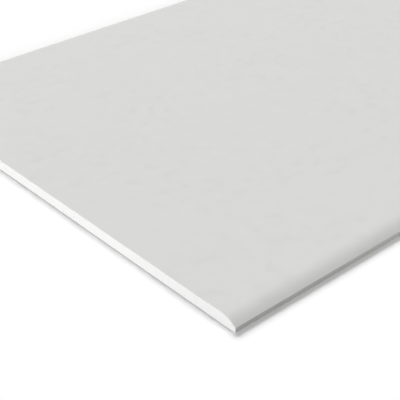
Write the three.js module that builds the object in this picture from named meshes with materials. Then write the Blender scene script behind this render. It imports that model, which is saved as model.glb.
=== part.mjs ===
// A sheet of drywall with half-round long edges: a gypsum core cast between two papers.
// It lies on its back. +X runs along the sheet, +Y across it and +Z out of its face.
// The origin is under the middle of the sheet, on the surface it lies on. Sizes are in millimetres.

import * as THREE from 'three';

// Driving dimensions of the sheet.
const LENGTH = 2000;
const WIDTH = 600;
const THICKNESS = 12.5;

// The two papers.
const FACE_PAPER = 0.35;
const BACK_PAPER = 0.35;
const FLANGE_WIDTH = 25; // face paper folded under the back, from the long edge
const LAP_MARGIN = 11; // the back paper stops this far short of the long edge

// The long edge: an upright side, and above it a round shoulder that runs out into the face.
const SIDE_HEIGHT = 5.6; // from the floor to where the shoulder would meet the side
const SHOULDER_WIDTH = 17; // from the long edge to where the face is flat
const BROW_RADIUS = 0.6; // softens the meeting of the side and the shoulder
const FOLD_RADIUS = 0.6; // lower arris, where the face paper is creased and folded under

// How finely each arc is divided.
const ARC_DIVISIONS = 9;

const HALF_WIDTH = WIDTH / 2;
const FLANGE_TIP = HALF_WIDTH - FLANGE_WIDTH;

// The shoulder is an arc that leaves the face without a crease and comes down to the top of the side.
// Its radius follows from how far it reaches in and how far it drops.
const shoulderDrop = THICKNESS - SIDE_HEIGHT;
const shoulderRadius = (SHOULDER_WIDTH ** 2 + shoulderDrop ** 2) / (2 * shoulderDrop);
const shoulderCentre = new THREE.Vector2(HALF_WIDTH - SHOULDER_WIDTH, THICKNESS - shoulderRadius);

// The brow is a small arc that touches the side from within, and the shoulder too.
function browArc() {
  const across = HALF_WIDTH - BROW_RADIUS;
  const reach = shoulderRadius - BROW_RADIUS;
  const rise = Math.sqrt(reach ** 2 - (across - shoulderCentre.x) ** 2);
  const centre = new THREE.Vector2(across, shoulderCentre.y + rise);
  const endAngle = Math.atan2(rise, across - shoulderCentre.x);
  return { centre, endAngle };
}

// One long edge in section, as [y, z] points: from the tip of the flange, round the fold, up the side
// and over the shoulder to where the face is flat. A line at some depth in the paper has the same
// centres as the outer skin and smaller radii, so the paper keeps its thickness round every bend.
function edgeLine(depth) {
  const brow = browArc();
  const fold = new THREE.Vector2(HALF_WIDTH - FOLD_RADIUS, BACK_PAPER + FOLD_RADIUS);
  const line = new THREE.Path();
  line.moveTo(FLANGE_TIP, BACK_PAPER + depth);
  line.lineTo(fold.x, BACK_PAPER + depth);
  line.absarc(fold.x, fold.y, FOLD_RADIUS - depth, -Math.PI / 2, 0, false);
  line.absarc(brow.centre.x, brow.centre.y, BROW_RADIUS - depth, 0, brow.endAngle, false);
  line.absarc(shoulderCentre.x, shoulderCentre.y, shoulderRadius - depth, brow.endAngle, Math.PI / 2, false);
  return line.getPoints(ARC_DIVISIONS);
}

// The whole way round the face side, from one flange's tip to the other's: both long edges are alike.
function wrapLine(depth) {
  const right = edgeLine(depth);
  const left = right.map((point) => new THREE.Vector2(-point.x, point.y)).reverse();
  return [...right, ...left];
}

// The face paper lies between its outer skin and the same line one paper thickness deeper.
function facePaperSection() {
  const outside = wrapLine(0);
  const inside = wrapLine(FACE_PAPER).reverse();
  return new THREE.Shape([...outside, ...inside]);
}

// The core fills the face paper. Between the two flanges its underside comes down to the back paper,
// so the flanges lie in rebates of their own thickness and the back stays flat.
function coreSection() {
  const underBelly = [new THREE.Vector2(-FLANGE_TIP, BACK_PAPER), new THREE.Vector2(FLANGE_TIP, BACK_PAPER)];
  return new THREE.Shape([...wrapLine(FACE_PAPER), ...underBelly]);
}

// The back paper is a flat strip that laps over both flanges.
function backPaperSection() {
  const edge = HALF_WIDTH - LAP_MARGIN;
  const corners = [[-edge, 0], [edge, 0], [edge, BACK_PAPER], [-edge, BACK_PAPER]];
  return new THREE.Shape(corners.map(([y, z]) => new THREE.Vector2(y, z)));
}

// Runs a [y, z] section along the sheet, and cuts it square at both ends.
function runAlongSheet(section) {
  const alongY = new THREE.Vector3(0, 1, 0);
  const alongZ = new THREE.Vector3(0, 0, 1);
  const alongX = new THREE.Vector3(1, 0, 0);
  const geometry = new THREE.ExtrudeGeometry(section, { depth: LENGTH, steps: 1, bevelEnabled: false });
  geometry.applyMatrix4(new THREE.Matrix4().makeBasis(alongY, alongZ, alongX));
  geometry.translate(-LENGTH / 2, 0, 0);
  return geometry;
}

function layer(name, section, color, roughness) {
  const material = new THREE.MeshStandardMaterial({ color, roughness, metalness: 0 });
  const mesh = new THREE.Mesh(runAlongSheet(section), material);
  mesh.name = name;
  return mesh;
}

const sheet = new THREE.Group();
sheet.add(layer('gypsum_core', coreSection(), 0xf4f3ef, 0.95));
sheet.add(layer('face_paper', facePaperSection(), 0xd9d9d7, 0.85));
sheet.add(layer('back_paper', backPaperSection(), 0xc4bdb0, 0.9));

export default sheet;
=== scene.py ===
# %% [markdown]
# # A sheet of drywall with half-round long edges
#
# Drywall is a sandwich made on a moving belt. Wet gypsum is spread on the face paper, the sides of that
# paper are folded up round it, and a second paper closes the back. When the gypsum has set, the endless
# sheet is sawn to length, so the white core is bare at the two ends and hidden everywhere else.
#
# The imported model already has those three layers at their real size. This lesson gives each of them its
# real surface: a paper that is folded round the edge, a core that is sawn and porous at its ends, and a
# back paper that laps over the folded one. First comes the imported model, which is the frame for the rest.

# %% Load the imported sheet
import math

import bmesh
import bpy
import numpy as np
from mathutils import Euler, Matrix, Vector


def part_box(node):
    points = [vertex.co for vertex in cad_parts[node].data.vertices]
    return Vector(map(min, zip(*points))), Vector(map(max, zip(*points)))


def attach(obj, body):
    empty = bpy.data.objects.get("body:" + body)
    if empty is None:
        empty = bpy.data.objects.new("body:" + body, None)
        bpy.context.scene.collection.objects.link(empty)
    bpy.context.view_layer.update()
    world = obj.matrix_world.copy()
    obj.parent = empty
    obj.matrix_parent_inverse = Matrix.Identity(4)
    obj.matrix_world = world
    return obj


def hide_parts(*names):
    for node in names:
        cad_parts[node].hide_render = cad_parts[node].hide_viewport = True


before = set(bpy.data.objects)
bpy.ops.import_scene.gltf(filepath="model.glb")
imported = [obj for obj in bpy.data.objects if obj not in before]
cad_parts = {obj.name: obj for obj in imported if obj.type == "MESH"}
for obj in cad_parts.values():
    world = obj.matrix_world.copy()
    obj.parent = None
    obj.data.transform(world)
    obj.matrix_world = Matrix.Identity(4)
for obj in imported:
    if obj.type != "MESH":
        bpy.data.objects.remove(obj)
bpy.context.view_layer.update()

print("packed nodes:", ", ".join(sorted(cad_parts)))

# %% [markdown]
# ## The sheet's sizes
#
# A drawing of the sheet needs few numbers. The outer sizes and the two paper thicknesses are read from the
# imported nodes, so they can't drift away from them. The shape of the long edge can't be read from a box, so
# its five sizes are written here, in metres.

# %% Sizes of the layers and of the long edge
MM = 0.001

core_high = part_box("gypsum_core")[1]
face_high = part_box("face_paper")[1]
back_low, back_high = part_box("back_paper")

HALF_LENGTH = face_high.x
HALF_WIDTH = face_high.y
THICKNESS = face_high.z
FACE_PAPER = face_high.z - core_high.z
BACK_PAPER = back_high.z - back_low.z
BACK_HALF_WIDTH = back_high.y

FLANGE_WIDTH = 25 * MM
SIDE_HEIGHT = 5.6 * MM
SHOULDER_WIDTH = 17 * MM
BROW_RADIUS = 0.6 * MM
FOLD_RADIUS = 0.6 * MM

print("face paper %.2f mm, back paper %.2f mm" % (FACE_PAPER / MM, BACK_PAPER / MM))

# %% [markdown]
# ## The line of the long edge
#
# Seen from the sawn end, the long edge is an upright side with a round shoulder over it. The shoulder is
# one arc that leaves the face without a crease, so its radius follows from how far it reaches in and how
# far it drops. A small arc, the brow, softens the place where shoulder and side meet, and a third one is
# the fold at the bottom. All three keep their centres from the outer skin down to the core: only the
# radii shrink, as they do in a real sheet of paper that is bent round something.

# %% Centres and angles of the three arcs
shoulder_drop = THICKNESS - SIDE_HEIGHT
shoulder_radius = (SHOULDER_WIDTH**2 + shoulder_drop**2) / (2 * shoulder_drop)
shoulder_y = HALF_WIDTH - SHOULDER_WIDTH
shoulder_z = THICKNESS - shoulder_radius

brow_y = HALF_WIDTH - BROW_RADIUS
brow_rise = math.sqrt((shoulder_radius - BROW_RADIUS) ** 2 - (brow_y - shoulder_y) ** 2)
brow_z = shoulder_z + brow_rise
brow_turn = math.atan2(brow_rise, brow_y - shoulder_y)

fold_y = HALF_WIDTH - FOLD_RADIUS
fold_z = BACK_PAPER + FOLD_RADIUS
flange_tip = HALF_WIDTH - FLANGE_WIDTH

print("shoulder radius %.1f mm, brow turns %.0f degrees" % (shoulder_radius / MM, math.degrees(brow_turn)))

# %% [markdown]
# ## Small hands
#
# Blender's operators work on what is selected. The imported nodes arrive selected, and a new primitive is
# selected all over, so every piece below starts from an empty selection and picks its edges by their
# place. These few helpers do the picking, and finish a modifier when its work is done.

# %% Selecting, placing and finishing
TOUCH = 0.01 * MM


def select_nothing():
    """Leaves edit mode and clears the selection."""
    if bpy.context.object and bpy.context.object.mode != "OBJECT":
        bpy.ops.object.mode_set(mode="OBJECT")
    bpy.ops.object.select_all(action="DESELECT")


def new_piece(name):
    """Names the primitive that was just added, and moves its place and size into its mesh."""
    piece = bpy.context.object
    piece.name = name
    piece.data.name = name
    bpy.ops.object.transform_apply(location=True, rotation=True, scale=True)
    return piece


def pick_edges(piece, wanted):
    """In edit mode, selects the edges whose two ends both pass the test."""
    mesh = bmesh.from_edit_mesh(piece.data)
    bpy.ops.mesh.select_all(action="DESELECT")
    for edge in mesh.edges:
        if all(wanted(corner.co) for corner in edge.verts):
            edge.select_set(True)
    bmesh.update_edit_mesh(piece.data)


def finish_modifier(piece, kind, **settings):
    """Adds one modifier, sets it and applies it."""
    modifier = piece.modifiers.new(kind.lower(), kind)
    for setting, value in settings.items():
        setattr(modifier, setting, value)
    bpy.context.view_layer.objects.active = piece
    bpy.ops.object.modifier_apply(modifier=modifier.name)


def face_outwards():
    """In edit mode, merges doubles and turns every face outwards."""
    bpy.ops.mesh.select_all(action="SELECT")
    bpy.ops.mesh.remove_doubles(threshold=TOUCH)
    bpy.ops.mesh.normals_make_consistent(inside=False)


def weigh(piece, group_name, weight_of):
    """Makes a vertex group from a rule that gives each place its weight."""
    group = piece.vertex_groups.new(name=group_name)
    for corner in piece.data.vertices:
        weight = weight_of(corner.co)
        if weight > 0:
            group.add([corner.index], weight, "REPLACE")
    return group.name


print("places closer than %.2f mm count as the same" % (TOUCH / MM))

# %% [markdown]
# ## Folding the face paper
#
# The face paper is one sheet that goes over the face, round the edge and under the back. It could be
# traced as an outline and pushed along the sheet, but it is more like the real thing to fold it: a narrow
# strip, the flange, is laid under the sheet, and its edge is spun round the fold, pulled up the side, spun
# round the brow and the shoulder, and pulled to the middle of the face. Each operator leaves the new edge
# selected, so the next one carries on from there. Spin turns left-handed, so its axis points backwards.

# %% Fold one half of the face paper
ARC_STEPS = 10
SHOULDER_STEPS = 24
AGAINST_X = (-1, 0, 0)


def spin_edge(angle, centre_y, centre_z, steps):
    """Drags the selected edge round an arc, and leaves paper behind it."""
    bpy.ops.mesh.spin(steps=steps, angle=angle, center=(0, centre_y, centre_z), axis=AGAINST_X)


def pull_edge(sideways, upwards):
    """Drags the selected edge straight on."""
    bpy.ops.mesh.extrude_region_move(TRANSFORM_OT_translate={"value": (0, sideways, upwards)})


select_nothing()
bpy.ops.mesh.primitive_plane_add(size=1, location=(0, (flange_tip + fold_y) / 2, BACK_PAPER))
bpy.context.object.scale = (2 * HALF_LENGTH, fold_y - flange_tip, 1)
face_liner = new_piece("face_liner")

bpy.ops.object.mode_set(mode="EDIT")
bpy.ops.mesh.select_mode(type="EDGE")
pick_edges(face_liner, lambda place: place.y > fold_y - TOUCH)
spin_edge(math.pi / 2, fold_y, fold_z, ARC_STEPS)
pull_edge(0, brow_z - fold_z)
spin_edge(brow_turn, brow_y, brow_z, ARC_STEPS)
spin_edge(math.pi / 2 - brow_turn, shoulder_y, shoulder_z, SHOULDER_STEPS)
pull_edge(-shoulder_y, 0)
print("half of the face paper:", len(bmesh.from_edit_mesh(face_liner.data).faces), "faces")

# %% [markdown]
# ## Cuts across the paper
#
# A knife or saw never leaves paper quite straight. To let the cut wander a little, the paper needs corners
# to move: the flat of the face is divided into narrow strips, and two short rows are cut off at each end
# so that only the last couple of millimetres take part. Subdivide makes a hundred cuts at most, and that
# sets how narrow a strip of this half can be.

# %% Divide the paper where it will be cut
CUT_STRIP = 2.8 * MM
END_ROWS = (1.5 * MM, 12 * MM)

flat_cuts = round(shoulder_y / CUT_STRIP) - 1
pick_edges(face_liner, lambda place: place.y < shoulder_y + TOUCH and place.z > THICKNESS - TOUCH)
mesh = bmesh.from_edit_mesh(face_liner.data)
for edge in mesh.edges:
    if abs(edge.verts[0].co.x - edge.verts[1].co.x) > TOUCH:
        edge.select_set(False)
bpy.ops.mesh.subdivide(number_cuts=flat_cuts)
for inset in END_ROWS:
    for end in (-1, 1):
        bpy.ops.mesh.select_all(action="SELECT")
        bpy.ops.mesh.bisect(plane_co=(end * (HALF_LENGTH - inset), 0, 0), plane_no=(1, 0, 0))
face_outwards()
bpy.ops.object.mode_set(mode="OBJECT")
print("cuts along half of the face: %d, so %d faces" % (flat_cuts, len(face_liner.data.polygons)))

# %% [markdown]
# ## The other half, and the paper's thickness
#
# Both long edges are alike, so the half is mirrored over the middle of the sheet. Only then does the skin
# get its thickness, inwards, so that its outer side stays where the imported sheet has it. The even
# thickness setting keeps the paper as thick round the tight fold as it is on the flat.

# %% Mirror and thicken the face paper, and let its cut wander
CUT_WANDER = 0.22 * MM
CUT_WANDER_SCALE = 3 * MM

finish_modifier(face_liner, "MIRROR", use_axis=(False, True, False), merge_threshold=TOUCH)
bpy.ops.object.mode_set(mode="EDIT")
face_outwards()
bpy.ops.object.mode_set(mode="OBJECT")
finish_modifier(face_liner, "SOLIDIFY", thickness=FACE_PAPER, offset=-1, use_even_offset=True)

cut_wander = bpy.data.textures.new("cut_wander", type="CLOUDS")
cut_wander.noise_scale = CUT_WANDER_SCALE
at_the_cut = weigh(face_liner, "at_the_cut", lambda place: float(abs(place.x) > HALF_LENGTH - TOUCH))
finish_modifier(face_liner, "DISPLACE", texture=cut_wander, direction="X", strength=CUT_WANDER,
                vertex_group=at_the_cut)
highest = max(face_liner.data.vertices, key=lambda corner: corner.co.z).co.z
print("face paper: %d faces, top at %.2f mm" % (len(face_liner.data.polygons), highest / MM))

# %% [markdown]
# ## The gypsum core
#
# All that is ever seen of the core is its two sawn ends, so that is where its corners go. One end is made
# as a fine grid, whose columns go from the underside of the core to its top, so both of those heights are
# worked out first. Columns crowd together at the two tight arcs, and a pair of them stands on both sides
# of the flange's tip, where the underside has a step as deep as the paper.

# %% Where the core starts and stops, across the sheet
GRAIN = 0.5 * MM
ROWS = 24
TIGHT_COLUMNS = 8

core_half_width = HALF_WIDTH - FACE_PAPER
core_fold = FOLD_RADIUS - FACE_PAPER
core_brow = BROW_RADIUS - FACE_PAPER
core_shoulder = shoulder_radius - FACE_PAPER


def circle_height(across, centre_y, radius):
    """How far a circle stands above or below its centre, at a distance across the sheet."""
    return np.sqrt(np.maximum(radius**2 - np.maximum(across - centre_y, 0) ** 2, 0))


def core_top(y):
    """Height of the top of the core, at places across the sheet."""
    across = np.abs(y)
    brow_start = brow_y + core_brow * math.cos(brow_turn)
    on_shoulder = shoulder_z + circle_height(across, shoulder_y, core_shoulder)
    on_brow = brow_z + circle_height(across, brow_y, core_brow)
    return np.where(across > brow_start, on_brow, on_shoulder)


def core_underside(y):
    """Height of its underside, which is one paper higher over the flanges."""
    across = np.abs(y)
    over_flange = fold_z - circle_height(across, fold_y, core_fold)
    return np.where(across < flange_tip, BACK_PAPER, over_flange)


def core_columns():
    """Places across the sheet, from one long edge to the other."""
    bend = np.linspace(0, math.pi / 2, TIGHT_COLUMNS + 1)
    tight = core_half_width - core_fold * (1 - np.sin(bend))
    middle = np.linspace(0, flange_tip - TOUCH, round(flange_tip / GRAIN))
    over_flange = np.linspace(flange_tip + TOUCH, tight[0], round(FLANGE_WIDTH / GRAIN))
    half = np.concatenate([middle, over_flange, tight[1:]])
    return np.concatenate([-half[:0:-1], half])


columns = core_columns()
print("columns across the sawn end:", len(columns))

# %% [markdown]
# ## From one sawn end to the other
#
# The grid is laid on one end, and each of its columns is stretched to the core's height at that place
# across the sheet. Then the whole grid is pulled along the sheet, which makes the long sides and the other
# end in one step.

# %% Lay the grid on one end and pull it along the sheet
select_nothing()
bpy.ops.mesh.primitive_grid_add(x_subdivisions=len(columns) - 1, y_subdivisions=ROWS, size=1)
gypsum_body = new_piece("gypsum_body")
across_grid = np.tile(columns, ROWS + 1)
up_grid = np.repeat(np.linspace(0, 1, ROWS + 1), len(columns))
bottom = core_underside(across_grid)
places = np.empty((len(across_grid), 3))
places[:, 0] = -HALF_LENGTH
places[:, 1] = across_grid
places[:, 2] = bottom + up_grid * (core_top(across_grid) - bottom)
gypsum_body.data.vertices.foreach_set("co", places.ravel())

bpy.ops.object.mode_set(mode="EDIT")
bpy.ops.mesh.select_all(action="SELECT")
bpy.ops.mesh.extrude_region_move(TRANSFORM_OT_translate={"value": (2 * HALF_LENGTH, 0, 0)})
face_outwards()
bpy.ops.object.mode_set(mode="OBJECT")
print("gypsum core:", len(gypsum_body.data.polygons), "faces")

# %% [markdown]
# ## Pores and saw marks
#
# Foam is stirred into the gypsum to make the sheet light, so a sawn end is full of small round pores, with
# a gentle unevenness where the blade passed. They are real dents here, because a close look catches their
# rims: a cell pattern with a ramp gives round pits, once large and far apart and once small. Only corners
# inside the outline may move, and only inwards, so the core still meets its papers all the way round.

# %% Dent the sawn ends
SAW_DEPTH = 0.12 * MM
SAW_SCALE = 5 * MM
RIM = 0.3 * MM
# Each kind of pore: distance between pores, their reach as a share of that distance, and depth.
PORES = {"large_pores": (5 * MM, 0.2, 0.5 * MM), "small_pores": (2.2 * MM, 0.3, 0.25 * MM)}


def on_sawn_end(place):
    """1 on the two sawn ends, but for a rim along the papers, and 0 elsewhere."""
    inside_top = core_top(place.y) - place.z > RIM
    inside_bottom = place.z - core_underside(place.y) > RIM
    inside_sides = core_half_width - abs(place.y) > RIM
    return float(abs(place.x) > HALF_LENGTH - TOUCH and inside_top and inside_bottom and inside_sides)


def pore_texture(name, spacing, reach):
    """White in the middle of each cell, and black from the rim of its pore outwards."""
    texture = bpy.data.textures.new(name, type="VORONOI")
    texture.noise_scale = spacing
    texture.use_color_ramp = True
    ramp = texture.color_ramp
    ramp.interpolation = "EASE"
    ramp.elements[0].position = 0
    ramp.elements[0].color = (1, 1, 1, 1)
    ramp.elements[1].position = reach
    ramp.elements[1].color = (0, 0, 0, 1)
    return texture


sawn = weigh(gypsum_body, "sawn", on_sawn_end)
saw_marks = bpy.data.textures.new("saw_marks", type="CLOUDS")
saw_marks.noise_scale = SAW_SCALE
finish_modifier(gypsum_body, "DISPLACE", texture=saw_marks, direction="NORMAL", mid_level=0,
                strength=-SAW_DEPTH, vertex_group=sawn)
for pore_name, (spacing, reach, pore_depth) in PORES.items():
    finish_modifier(gypsum_body, "DISPLACE", texture=pore_texture(pore_name, spacing, reach),
                    direction="NORMAL", mid_level=0, strength=-pore_depth, vertex_group=sawn)
dented = np.empty(3 * len(gypsum_body.data.vertices))
gypsum_body.data.vertices.foreach_get("co", dented)
depths = HALF_LENGTH - np.abs(dented[0::3])
print("deepest pore %.2f mm" % (depths.max() / MM))

# %% [markdown]
# ## One bubble that the saw cut open
#
# Now and then the foam leaves a bubble that is larger than the rest, and one end of this sheet has one cut
# open, not far from the middle. A texture can't put a dent at a chosen place, but a weight can: it is 1 in
# the middle of the bubble and falls to nothing at the rim.

# %% Open the bubble
BUBBLE_ACROSS = -63 * MM
BUBBLE_UP = 5 * MM
BUBBLE_REACH = 1.2 * MM
BUBBLE_DEPTH = 1.4 * MM


def in_the_bubble(place):
    """1 in the middle of the bubble, and 0 from its rim outwards."""
    away = math.hypot(place.y - BUBBLE_ACROSS, place.z - BUBBLE_UP)
    return (place.x < 0) * max(0, 1 - away / BUBBLE_REACH)


bubble = weigh(gypsum_body, "bubble", in_the_bubble)
finish_modifier(gypsum_body, "DISPLACE", direction="X", mid_level=0, strength=BUBBLE_DEPTH,
                vertex_group=bubble)
inside = sum(in_the_bubble(corner.co) > 0 for corner in gypsum_body.data.vertices)
print("corners inside the bubble:", inside)

# %% [markdown]
# ## The back paper
#
# The second paper is rolled on flat, over the folded flanges, and it stops a finger's width short of the
# long edges so that the two never show a double edge. It is a plain strip with a lap that wanders a
# little, because it is slit from a wide roll and laid on a moving sheet. The saw tears this paper more than
# it cuts it, so a lip of torn fibres stands out at the foot of both ends, less than a millimetre long.

# %% Lay the back paper
LAP_WANDER = 0.5 * MM
LAP_WANDER_SCALE = 40 * MM
BACK_STEP_ALONG = 5 * MM
BACK_STEP_ACROSS = 20 * MM
TORN_LIP = 0.8 * MM

select_nothing()
bpy.ops.mesh.primitive_grid_add(x_subdivisions=round(2 * HALF_LENGTH / BACK_STEP_ALONG),
                                y_subdivisions=round(2 * BACK_HALF_WIDTH / BACK_STEP_ACROSS), size=1,
                                location=(0, 0, back_low.z))
bpy.context.object.scale = (2 * (HALF_LENGTH + TORN_LIP), 2 * BACK_HALF_WIDTH, 1)
back_liner = new_piece("back_liner")
finish_modifier(back_liner, "SOLIDIFY", thickness=BACK_PAPER, offset=1)
at_the_lap = weigh(back_liner, "at_the_lap", lambda place: float(abs(place.y) > BACK_HALF_WIDTH - TOUCH))
lap_wander = bpy.data.textures.new("lap_wander", type="CLOUDS")
lap_wander.noise_scale = LAP_WANDER_SCALE
finish_modifier(back_liner, "DISPLACE", texture=lap_wander, direction="Y", strength=LAP_WANDER,
                vertex_group=at_the_lap)
print("back paper:", len(back_liner.data.polygons), "faces")

# %% [markdown]
# ## Maths on sockets
#
# The finishes are node graphs. Written one node at a time, a graph is hard to read, so a socket is wrapped
# in a small class whose sums, differences and products add the Math nodes. The reflected forms are there
# too, so that 1 - mask turns a mask round.

# %% A socket that can be reckoned with
class Signal:
    """One output of a finish's graph."""

    def __init__(self, finish, socket):
        self.finish = finish
        self.socket = socket

    def reckon(self, operation, first, second):
        return self.finish.node("ShaderNodeMath", {"operation": operation}, {0: first, 1: second})

    def __add__(self, other):
        return self.reckon("ADD", self, other)

    def __radd__(self, other):
        return self.reckon("ADD", other, self)

    def __sub__(self, other):
        return self.reckon("SUBTRACT", self, other)

    def __rsub__(self, other):
        return self.reckon("SUBTRACT", other, self)

    def __mul__(self, other):
        return self.reckon("MULTIPLY", self, other)

    def __rmul__(self, other):
        return self.reckon("MULTIPLY", other, self)


# %% [markdown]
# ## What the finishes share
#
# All three finishes need to know where a point is on the sheet and how near it is to a sawn end, and all
# of them use noise with spots of a given size, a soft ramp and a blend of two colours. Places are read in
# metres on the sheet itself, so a fibre or a pore keeps its real size. One method makes every kind of node:
# it takes the node's settings first, then what goes into its sockets.

# %% A finish and its nodes
class Finish:
    """A material, or the world round the sheet, and the nodes that make it."""

    def __init__(self, owner):
        owner.use_nodes = True
        self.owner = owner
        self.tree = owner.node_tree
        self.tree.nodes.clear()

    def node(self, kind, settings, sockets, output=0):
        """Adds a node: its settings, then its sockets' values or links. Gives back one output."""
        made = self.tree.nodes.new(kind)
        for setting, value in settings.items():
            setattr(made, setting, value)
        for socket, value in sockets.items():
            if isinstance(value, Signal):
                self.tree.links.new(value.socket, made.inputs[socket])
            else:
                made.inputs[socket].default_value = value
        return Signal(self, made.outputs[output]) if len(made.outputs) else None

    def place(self, stretch=(1, 1, 1)):
        """Where a point is on the sheet, in metres, stretched along its axes."""
        here = self.node("ShaderNodeTexCoord", {}, {}, "Object")
        return self.node("ShaderNodeMapping", {}, {"Vector": here, "Scale": stretch})

    def axis(self, letter):
        """How far along one axis of the sheet a point is, in metres."""
        return self.node("ShaderNodeSeparateXYZ", {}, {0: self.place()}, letter)

    def from_the_middle(self, letter):
        """The same distance to either side of the middle of the sheet."""
        return self.node("ShaderNodeMath", {"operation": "ABSOLUTE"}, {0: self.axis(letter)})

    def near_the_cut(self, reach):
        """1 on the sawn ends, falling to 0 at this distance from them."""
        return self.step(self.from_the_middle("X"), HALF_LENGTH - reach, HALF_LENGTH)

    def noise(self, place, size, detail=2, roughness=0.5):
        """Smooth noise from 0 to 1, with spots of about this size in metres."""
        return self.node("ShaderNodeTexNoise", {}, {"Vector": place, "Scale": 1 / size, "Detail": detail,
                                                    "Roughness": roughness}, "Fac")

    def step(self, signal, low, high):
        """0 below low, 1 above high, and a soft ramp between."""
        return self.node("ShaderNodeMapRange", {"interpolation_type": "SMOOTHSTEP"},
                         {"Value": signal, "From Min": low, "From Max": high}, "Result")

    def blend(self, share, first, second):
        """A colour between two others."""
        return self.node("ShaderNodeMix", {"data_type": "RGBA"}, {"Factor": share, 6: first, 7: second}, 2)

    def surface(self, sockets):
        """Ends the graph in one shader."""
        shader = self.node("ShaderNodeBsdfPrincipled", {}, sockets)
        self.node("ShaderNodeOutputMaterial", {}, {"Surface": shader})
        return self.owner


# %% [markdown]
# ## The face paper's finish
#
# The face liner is made smooth so that it takes paint: a matt, almost neutral light grey. Close to, its
# long fibres lie along the sheet, because the paper machine draws them that way, and the pulp is a little
# cloudy, with faint darker spots as large as a lentil where it lies thicker. The fibres also make the bump,
# which is a few hundredths of a millimetre. The upright side of the long edge carries painted shade: there
# the colour is drawn greyer and a little yellower, and darkest towards the corners. White dust from the saw
# sticks to the very edge, where the paper was cut.

# %% Face paper
def grey(level, warmth=0.0):
    """A grey, with a little yellow where warmth is more than 0."""
    return (level, level, level * (1 - warmth), 1)


FACE_FIBRE = 0.35 * MM
FACE_FIBRE_RELIEF = 0.03 * MM
FACE_CLOUD = 22 * MM
FACE_SPOT = 13 * MM
SPOT_CLUSTER = 130 * MM
DARK_PULP = grey(0.645, 0.026)
LIGHT_PULP = grey(0.685, 0.014)
DARK_SPOT = grey(0.617, 0.026)

# The painted shade of the upright side fades out between these two heights, and grows from this far off an
# end.
SIDE_SHADE_FADES = (SIDE_HEIGHT - 0.3 * MM, SIDE_HEIGHT + 0.4 * MM)
CORNER_SHADE_REACH = 200 * MM
# The painted shade of the upright side, and its darker form near the ends.
PAINTED_SIDE_SHADE = grey(0.41, 0.045)
PAINTED_CORNER_SHADE = grey(0.34, 0.045)

DUSTY_RIM = 0.3 * MM
GYPSUM_DUST = (0.88, 0.88, 0.87, 1)


def face_liner_finish():
    paper = Finish(bpy.data.materials.new("face_liner"))
    along_the_sheet = paper.place(stretch=(0.15, 1, 1))
    fibres = paper.noise(along_the_sheet, FACE_FIBRE, detail=3, roughness=0.6)
    cloud = paper.noise(paper.place(), FACE_CLOUD, detail=2)
    clusters = paper.step(paper.noise(paper.place(), SPOT_CLUSTER, detail=1), 0.38, 0.6)
    spots = paper.step(paper.noise(paper.place(stretch=(0.8, 1, 1)), FACE_SPOT, detail=0), 0.5, 0.8)
    pulp = paper.blend(0.8 * cloud + 0.2 * fibres, DARK_PULP, LIGHT_PULP)
    spotted = paper.blend(spots * clusters * 0.4, pulp, DARK_SPOT)
    height = paper.axis("Z")
    below_the_brow = 1 - paper.step(height, *SIDE_SHADE_FADES)
    above_the_flange = paper.step(height, BACK_PAPER, BACK_PAPER + FOLD_RADIUS / 2)
    # Painted shade on the upright side of the long edge, darkest near the ends and kept off the fold.
    side_shade_colour = paper.blend(paper.near_the_cut(CORNER_SHADE_REACH), PAINTED_SIDE_SHADE, PAINTED_CORNER_SHADE)
    with_side_shade = paper.blend(below_the_brow * above_the_flange * (0.7 + 0.3 * cloud), spotted, side_shade_colour)
    colour = paper.blend(paper.near_the_cut(DUSTY_RIM) * (0.6 + 0.4 * cloud), with_side_shade, GYPSUM_DUST)
    bump = paper.node("ShaderNodeBump", {}, {"Height": fibres, "Strength": 0.35,
                                             "Distance": FACE_FIBRE_RELIEF})
    return paper.surface({"Base Color": colour, "Roughness": 0.84 + 0.1 * cloud, "Normal": bump,
                          "Specular IOR Level": 0.2})


smooth_paper = face_liner_finish()
print("face paper's finish:", len(smooth_paper.node_tree.nodes), "nodes")

# %% [markdown]
# ## The gypsum's finish
#
# Set gypsum is very white and chalky, without any gloss. Its finest pores are too small to be dents in the
# mesh, so they are bump, with a trace of painted shade in them, and the whole has a slightly uneven tone.
# Towards the long edges it is a shade greyer.
# The deepest pores carry painted shade, and so does a thin band along the foot of the sawn ends.

# %% Gypsum
GYPSUM_GRAIN = 0.35 * MM
GYPSUM_PATCH = 9 * MM
FINE_PORE = 0.9 * MM
FINE_PORE_RELIEF = 0.1 * MM
FOAMED_DARK = grey(0.845, 0.02)
FOAMED_LIGHT = grey(0.935, 0.004)

# From the first to the second of these distances to a long edge the gypsum grows greyer.
GREYER_NEAR_EDGES = (185 * MM, 20 * MM)
EDGE_GREY_DARK = grey(0.78, 0.015)
EDGE_GREY_LIGHT = grey(0.875)

# A pore's painted shade is full at this depth, and the painted shade along the foot reaches this far up.
PORE_SHADE_DEPTH = 0.9 * MM
PAINTED_PORE_SHADE = grey(0.5)
FOOT_SHADE_HEIGHT = 0.6 * MM
PAINTED_FOOT_SHADE = grey(0.55)


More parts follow.
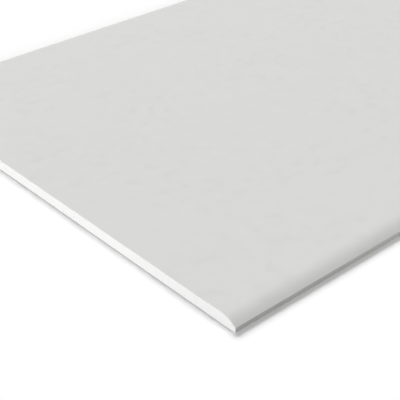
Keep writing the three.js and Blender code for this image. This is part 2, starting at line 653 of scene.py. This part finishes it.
def gypsum_finish():
    chalk = Finish(bpy.data.materials.new("gypsum"))
    grains = chalk.noise(chalk.place(), GYPSUM_GRAIN, detail=4, roughness=0.7)
    patches = chalk.noise(chalk.place(), GYPSUM_PATCH, detail=2)
    cells = chalk.node("ShaderNodeTexVoronoi", {}, {"Vector": chalk.place(), "Scale": 1 / FINE_PORE},
                       "Distance")
    # solid is 0 in the middle of a fine pore; the tone below turns that into painted shade, mixed with
    # grains and patches.
    solid = chalk.step(cells, 0.12, 0.32)
    tone = 0.55 * solid + 0.25 * grains + 0.2 * patches
    foamed = chalk.blend(tone, FOAMED_DARK, FOAMED_LIGHT)
    # The gypsum is drawn a shade greyer towards the long edges.
    near_long_edges = chalk.step(chalk.from_the_middle("Y"), HALF_WIDTH - GREYER_NEAR_EDGES[0], HALF_WIDTH - GREYER_NEAR_EDGES[1])
    whole = chalk.blend(near_long_edges, foamed, chalk.blend(tone, EDGE_GREY_DARK, EDGE_GREY_LIGHT))
    # Painted shade in the deepest pores, the darker the deeper they lie.
    sunken = 1 - chalk.near_the_cut(PORE_SHADE_DEPTH)
    with_pore_shade = chalk.blend(0.6 * sunken, whole, PAINTED_PORE_SHADE)
    # Painted shade in a thin band along the foot of the sawn ends, where they meet the floor.
    foot_shade_mask = 1 - chalk.step(chalk.axis("Z"), BACK_PAPER, BACK_PAPER + FOOT_SHADE_HEIGHT)
    colour = chalk.blend(0.6 * foot_shade_mask, with_pore_shade, PAINTED_FOOT_SHADE)
    bump = chalk.node("ShaderNodeBump", {}, {"Height": 0.6 * solid + 0.4 * grains, "Strength": 0.5,
                                             "Distance": FINE_PORE_RELIEF})
    return chalk.surface({"Base Color": colour, "Roughness": 0.9 + 0.08 * grains, "Normal": bump,
                          "Specular IOR Level": 0.2})


sawn_gypsum = gypsum_finish()
print("gypsum's finish:", len(sawn_gypsum.node_tree.nodes), "nodes")

# %% [markdown]
# ## The back paper's finish
#
# The back liner is plain recycled board, browner and rougher than the face. It has the same lengthwise
# fibres, only coarser, and small dark and light flecks from the waste paper that it is made of. In the lip
# that the saw tore, the brown fibres are full of white dust, and the two together look grey.

# %% Back paper
BACK_FIBRE = 0.6 * MM
BACK_FIBRE_RELIEF = 0.05 * MM
BACK_CLOUD = 20 * MM
FLECK = 1.1 * MM
BROWN_PULP = (0.5, 0.46, 0.39, 1)
PALE_PULP = (0.6, 0.56, 0.49, 1)
DARK_FLECK = (0.25, 0.215, 0.18, 1)
PALE_FLECK = (0.72, 0.7, 0.65, 1)

DUSTY_LIP = 0.4 * MM
LIP_FIBRES = grey(0.62)


def back_liner_finish():
    board = Finish(bpy.data.materials.new("back_liner"))
    along_the_sheet = board.place(stretch=(0.2, 1, 1))
    fibres = board.noise(along_the_sheet, BACK_FIBRE, detail=4, roughness=0.65)
    cloud = board.noise(board.place(), BACK_CLOUD, detail=3)
    flecks = board.noise(board.place(stretch=(0.5, 1, 1)), FLECK, detail=1)
    dark_flecks = board.step(flecks, 0.66, 0.74)
    pale_flecks = 1 - board.step(flecks, 0.26, 0.34)
    pulp = board.blend(0.5 * cloud + 0.5 * fibres, BROWN_PULP, PALE_PULP)
    with_dark = board.blend(0.5 * dark_flecks, pulp, DARK_FLECK)
    with_pale = board.blend(0.4 * pale_flecks, with_dark, PALE_FLECK)
    colour = board.blend(board.near_the_cut(DUSTY_LIP), with_pale, LIP_FIBRES)
    bump = board.node("ShaderNodeBump", {}, {"Height": fibres, "Strength": 0.5,
                                             "Distance": BACK_FIBRE_RELIEF})
    return board.surface({"Base Color": colour, "Roughness": 0.82 + 0.14 * fibres, "Normal": bump,
                          "Specular IOR Level": 0.25})


rough_paper = back_liner_finish()
print("back paper's finish:", len(rough_paper.node_tree.nodes), "nodes")

# %% [markdown]
# ## Dress the sheet
#
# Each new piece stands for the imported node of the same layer. It is shaded smooth across the arcs and
# sharp at the sawn ends, takes its finish, and rides on the sheet's one body.

# %% Give every piece its finish and its place in the sheet
SHARP = math.radians(35)
layers = [
    (gypsum_body, "gypsum_core", "gypsum", sawn_gypsum),
    (face_liner, "face_paper", "face_liner", smooth_paper),
    (back_liner, "back_paper", "back_liner", rough_paper),
]
for piece, node, slot, finish in layers:
    select_nothing()
    piece.select_set(True)
    bpy.context.view_layer.objects.active = piece
    bpy.ops.object.shade_smooth_by_angle(angle=SHARP)
    piece.data.materials.clear()
    piece.data.materials.append(finish)
    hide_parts(node)
    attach(piece, "root")
    triangles = sum(len(face.vertices) - 2 for face in piece.data.polygons)
    print(piece.name, "stands for", node, "with", triangles, "triangles")

# %% [markdown]
# ## The studio
#
# The sheet lies on a white floor that runs out into a white world. A floor that is only painted white
# would never quite reach white in the picture without too much light on the sheet. So it also glows, ever
# so little, but for the camera and for mirror-like rays only, and it still takes the sheet's shadow. Far
# from the sheet, where the lamps no longer reach, it fades into the same white as the world. A floor as
# white as that would also light the sheet's edges from below and wash out their shade. So the light that it
# throws back on the sheet is that of a grey floor, as when dark card is laid beside an object in a studio.

# %% White floor and white world
FLOOR_SIZE = 40.0
FLOOR_GAP = 0.02 * MM
FLOOR_SEEN = (0.97, 0.97, 0.97, 1)
FLOOR_THROWN_BACK = (0.35, 0.35, 0.35, 1)
FLOOR_GLOW = 0.025
FLOOR_FADES_FROM = 1.6
FLOOR_FADED_BY = 3.2


def seen_directly(graph):
    """1 for rays from the camera, from a mirror or through glass, and 0 for light that only bounces."""
    kinds = ("Is Camera Ray", "Is Glossy Ray", "Is Transmission Ray")
    camera_ray, mirror_ray, glass_ray = [graph.node("ShaderNodeLightPath", {}, {}, kind) for kind in kinds]
    return graph.node("ShaderNodeClamp", {}, {"Value": camera_ray + mirror_ray + glass_ray})


def floor_finish():
    floor = Finish(bpy.data.materials.new("studio_floor"))
    colour = floor.blend(seen_directly(floor), FLOOR_THROWN_BACK, FLOOR_SEEN)
    white = floor.node("ShaderNodeBsdfDiffuse", {}, {"Color": colour})
    glow = floor.node("ShaderNodeEmission", {}, {"Strength": seen_directly(floor) * FLOOR_GLOW})
    lit = floor.node("ShaderNodeAddShader", {}, {0: white, 1: glow})
    faded = floor.node("ShaderNodeEmission", {}, {"Strength": seen_directly(floor)})
    distance = floor.node("ShaderNodeVectorMath", {"operation": "LENGTH"}, {0: floor.place()}, "Value")
    fade = floor.step(distance, FLOOR_FADES_FROM, FLOOR_FADED_BY)
    both = floor.node("ShaderNodeMixShader", {}, {0: fade, 1: lit, 2: faded})
    floor.node("ShaderNodeOutputMaterial", {}, {"Surface": both})
    return floor.owner


select_nothing()
bpy.ops.mesh.primitive_plane_add(size=FLOOR_SIZE, location=(0, 0, -FLOOR_GAP))
studio_floor = new_piece("studio_floor")
studio_floor.data.materials.append(floor_finish())
print("floor: %.0f m wide, %.2f mm under the sheet" % (FLOOR_SIZE, FLOOR_GAP / MM))

# %% [markdown]
# ## Light
#
# Three wide, plain lamps. The strongest stands across the sheet, behind its far long edge, and throws the
# short soft shadow at the foot of the near one. A low lamp looks straight at the sawn end, and makes it the
# brightest part of the sheet. The third is also low, on the side of the near long edge, and keeps that edge
# readable. The sky adds almost nothing, so that the shadow stays as deep as it can be.

# %% Lamps and sky
SKY_STRENGTH = 0.02
LIT_PLACE = Vector((-0.75, 0, 0))
# Each lamp: where it stands (degrees from +X, degrees up, metres away), how wide it looks, its strength.
LAMPS = {
    "end_lamp": (182, 10, 16, 20, 0.84),
    "back_lamp": (73, 41, 30, 34, 1.04),
    "side_lamp": (290, 15, 14, 36, 0.65),
}


def add_lamp(name, bearing, height, distance, width, strength):
    """Adds a round lamp. At strength 1 it lights a surface that faces it to the colour as written."""
    half_width = math.radians(width / 2)
    data = bpy.data.lights.new(name, "AREA")
    data.shape = "DISK"
    data.size = 2 * distance * math.tan(half_width)
    data.energy = strength * (math.pi * distance / math.cos(half_width)) ** 2
    lamp = bpy.data.objects.new(name, data)
    lamp.rotation_euler = Euler((math.radians(90 - height), 0, math.radians(90 + bearing)), "XYZ")
    lamp.location = LIT_PLACE + lamp.rotation_euler.to_matrix() @ Vector((0, 0, distance))
    bpy.context.scene.collection.objects.link(lamp)


for lamp_name, lamp_facts in LAMPS.items():
    add_lamp(lamp_name, *lamp_facts)

sky = Finish(bpy.data.worlds.new("studio_world"))
sky_strength = seen_directly(sky) * (1 - SKY_STRENGTH) + SKY_STRENGTH
backdrop = sky.node("ShaderNodeBackground", {}, {"Color": (1, 1, 1, 1), "Strength": sky_strength})
sky.node("ShaderNodeOutputWorld", {}, {"Surface": backdrop})
bpy.context.scene.world = sky.owner
face_light = sum(strength * math.sin(math.radians(height)) for _, height, _, _, strength in LAMPS.values())
print("light on the face, where 1 shows colours as written: %.2f" % (face_light + SKY_STRENGTH))

# %% [markdown]
# ## Camera
#
# A long lens looks down on the near corner, with the sawn end to the left and a long edge to the right.
# Its place is in metres, its bearing is counted from +X, and its tilt downwards from level.

# %% Camera
CAMERA_PLACE = Vector((-1.48802, -0.79879, 0.58))
CAMERA_BEARING = math.radians(48.141)
CAMERA_DOWN = math.radians(32.41)
CAMERA_LENS = 93.16
CAMERA_SENSOR = 36
CAMERA_SEES_FROM = 0.01

camera_data = bpy.data.cameras.new("camera")
camera_data.lens = CAMERA_LENS
camera_data.sensor_width = CAMERA_SENSOR
camera_data.clip_start = CAMERA_SEES_FROM
camera = bpy.data.objects.new("camera", camera_data)
camera.location = CAMERA_PLACE
camera.rotation_euler = Euler((math.pi / 2 - CAMERA_DOWN, 0, CAMERA_BEARING - math.pi / 2), "XYZ")
bpy.context.scene.collection.objects.link(camera)
bpy.context.scene.camera = camera
bpy.context.scene.view_settings.view_transform = "Standard"
near_corner = Vector((-HALF_LENGTH, -HALF_WIDTH, 0))
print("camera to the near corner: %.2f m" % (CAMERA_PLACE - near_corner).length)
